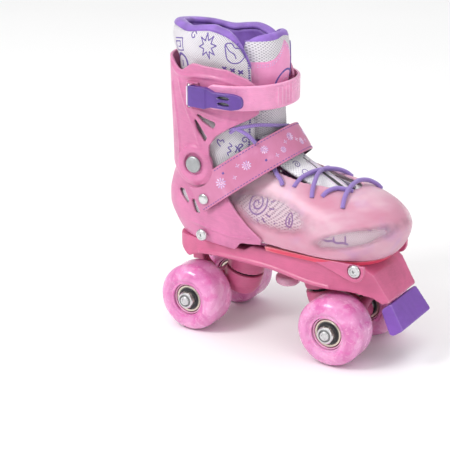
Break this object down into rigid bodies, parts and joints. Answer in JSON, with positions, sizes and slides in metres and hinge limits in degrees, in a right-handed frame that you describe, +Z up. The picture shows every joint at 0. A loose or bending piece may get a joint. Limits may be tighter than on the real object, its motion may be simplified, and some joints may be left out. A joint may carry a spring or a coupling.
{
  "type": "adjustable roller skate",
  "caption": "Child's quad roller skate with hinged ankle cuff, buckled strap, extending toe cap, steering trucks and free-spinning wheels.",
  "frame": {"origin": "on the floor under the middle of the whole skate's box", "axes": "+X towards the toe, +Y towards the skate's inner side (the left of a right skate), +Z up"},
  "size_m": [0.2158, 0.103, 0.2476],
  "materials": {
    "shell_pink": "semi-gloss moulded polypropylene",
    "plate_pink": "semi-gloss moulded nylon",
    "toe_clear_pink": "translucent milky soft PVC",
    "purple_plastic": "satin moulded nylon",
    "stop_purple": "matt moulded rubber",
    "strap_pink": "printed synthetic leather, stitched edges",
    "white_mesh": "fine padded mesh with purple line prints",
    "purple_lining": "brushed knit lining",
    "lace_purple": "round woven lace",
    "wheel_pink": "translucent marbled cast polyurethane",
    "core_pink": "moulded nylon",
    "bearing_dark": "steel ball bearing with black shields",
    "cushion_rubber": "moulded rubber",
    "steel": "nickel-plated steel"
  },
  "bodies": {
    "chassis": {"plate": "plate_pink", "heel_shell": "shell_pink", "liner": "white_mesh", "insole": "purple_lining", "tongue_lower": "white_mesh", "instep_strap": "strap_pink", "strap_rivet_outer": "steel", "strap_rivet_inner": "steel", "ankle_rivet_outer": "steel", "ankle_rivet_inner": "steel", "heel_bolt_outer": "steel", "heel_bolt_inner": "steel", "toe_stop": "stop_purple", "toe_stop_bolt": "steel", "cushion_upper_rear": "cushion_rubber", "cushion_lower_rear": "cushion_rubber", "kingpin_rear": "steel", "cushion_upper_front": "cushion_rubber", "cushion_lower_front": "cushion_rubber", "kingpin_front": "steel", "lace_top": "lace_purple"},
    "toe_carriage": {"toe_base": "shell_pink", "toe_cap": "toe_clear_pink", "liner_toe": "white_mesh", "toe_bolt_outer": "steel", "toe_bolt_inner": "steel", "lace_toe": "lace_purple"},
    "cuff": {"cuff": "shell_pink", "collar": "white_mesh", "tongue_upper": "white_mesh", "cuff_strap": "shell_pink", "cuff_strap_rivet": "steel", "buckle_base": "shell_pink", "buckle_pin": "steel"},
    "lever": {"buckle_lever": "purple_plastic"},
    "adjuster": {"adjust_knob": "core_pink"},
    "truck_rear": {"hanger_rear": "plate_pink", "axle_rear": "steel", "axle_nut_rear_outer": "steel", "axle_nut_rear_inner": "steel"},
    "wheel_rear_outer": {"tyre_rear_outer": "wheel_pink", "core_rear_outer": "core_pink", "bearing_rear_outer_out": "bearing_dark", "bearing_rear_outer_in": "bearing_dark"},
    "wheel_rear_inner": {"tyre_rear_inner": "wheel_pink", "core_rear_inner": "core_pink", "bearing_rear_inner_out": "bearing_dark", "bearing_rear_inner_in": "bearing_dark"},
    "truck_front": {"hanger_front": "plate_pink", "axle_front": "steel", "axle_nut_front_outer": "steel", "axle_nut_front_inner": "steel"},
    "wheel_front_outer": {"tyre_front_outer": "wheel_pink", "core_front_outer": "core_pink", "bearing_front_outer_out": "bearing_dark", "bearing_front_outer_in": "bearing_dark"},
    "wheel_front_inner": {"tyre_front_inner": "wheel_pink", "core_front_inner": "core_pink", "bearing_front_inner_out": "bearing_dark", "bearing_front_inner_in": "bearing_dark"}
  },
  "joints": [
    {"name": "toe_size_slide", "type": "slide", "parent": "chassis", "child": "toe_carriage", "axis": [1, 0, 0], "range_m": [0, 0.02]},
    {"name": "cuff_flex", "type": "hinge", "parent": "chassis", "child": "cuff", "pos_m": [-0.0656, 0, 0.14], "axis": [0, 1, 0], "range_deg": [-3, 10], "stiffness_Nm_per_rad": 3, "deforming": ["lace_top"]},
    {"name": "buckle_lever_hinge", "type": "hinge", "parent": "cuff", "child": "lever", "pos_m": [-0.0661, -0.0473, 0.1955], "axis": [0, 0, -1], "range_deg": [0, 100]},
    {"name": "adjust_pull", "type": "slide", "parent": "chassis", "child": "adjuster", "axis": [0, 0, -1], "range_m": [0, 0.004], "stiffness_N_per_m": 800, "springref_m": -0.002},
    {"name": "truck_rear_steer", "type": "hinge", "parent": "chassis", "child": "truck_rear", "pos_m": [-0.0466, 0, 0.0363], "axis": [0.9659, 0, -0.2588], "range_deg": [-5, 5], "stiffness_Nm_per_rad": 15},
    {"name": "wheel_rear_outer_spin", "type": "hinge", "parent": "truck_rear", "child": "wheel_rear_outer", "pos_m": [-0.0706, -0.0325, 0.027], "axis": [0, 1, 0], "continuous": true},
    {"name": "wheel_rear_inner_spin", "type": "hinge", "parent": "truck_rear", "child": "wheel_rear_inner", "pos_m": [-0.0706, 0.0325, 0.027], "axis": [0, 1, 0], "continuous": true},
    {"name": "truck_front_steer", "type": "hinge", "parent": "chassis", "child": "truck_front", "pos_m": [0.0314, 0, 0.0363], "axis": [0.9659, 0, 0.2588], "range_deg": [-5, 5], "stiffness_Nm_per_rad": 15},
    {"name": "wheel_front_outer_spin", "type": "hinge", "parent": "truck_front", "child": "wheel_front_outer", "pos_m": [0.0554, -0.0325, 0.027], "axis": [0, 1, 0], "continuous": true},
    {"name": "wheel_front_inner_spin", "type": "hinge", "parent": "truck_front", "child": "wheel_front_inner", "pos_m": [0.0554, 0.0325, 0.027], "axis": [0, 1, 0], "continuous": true}
  ]
}
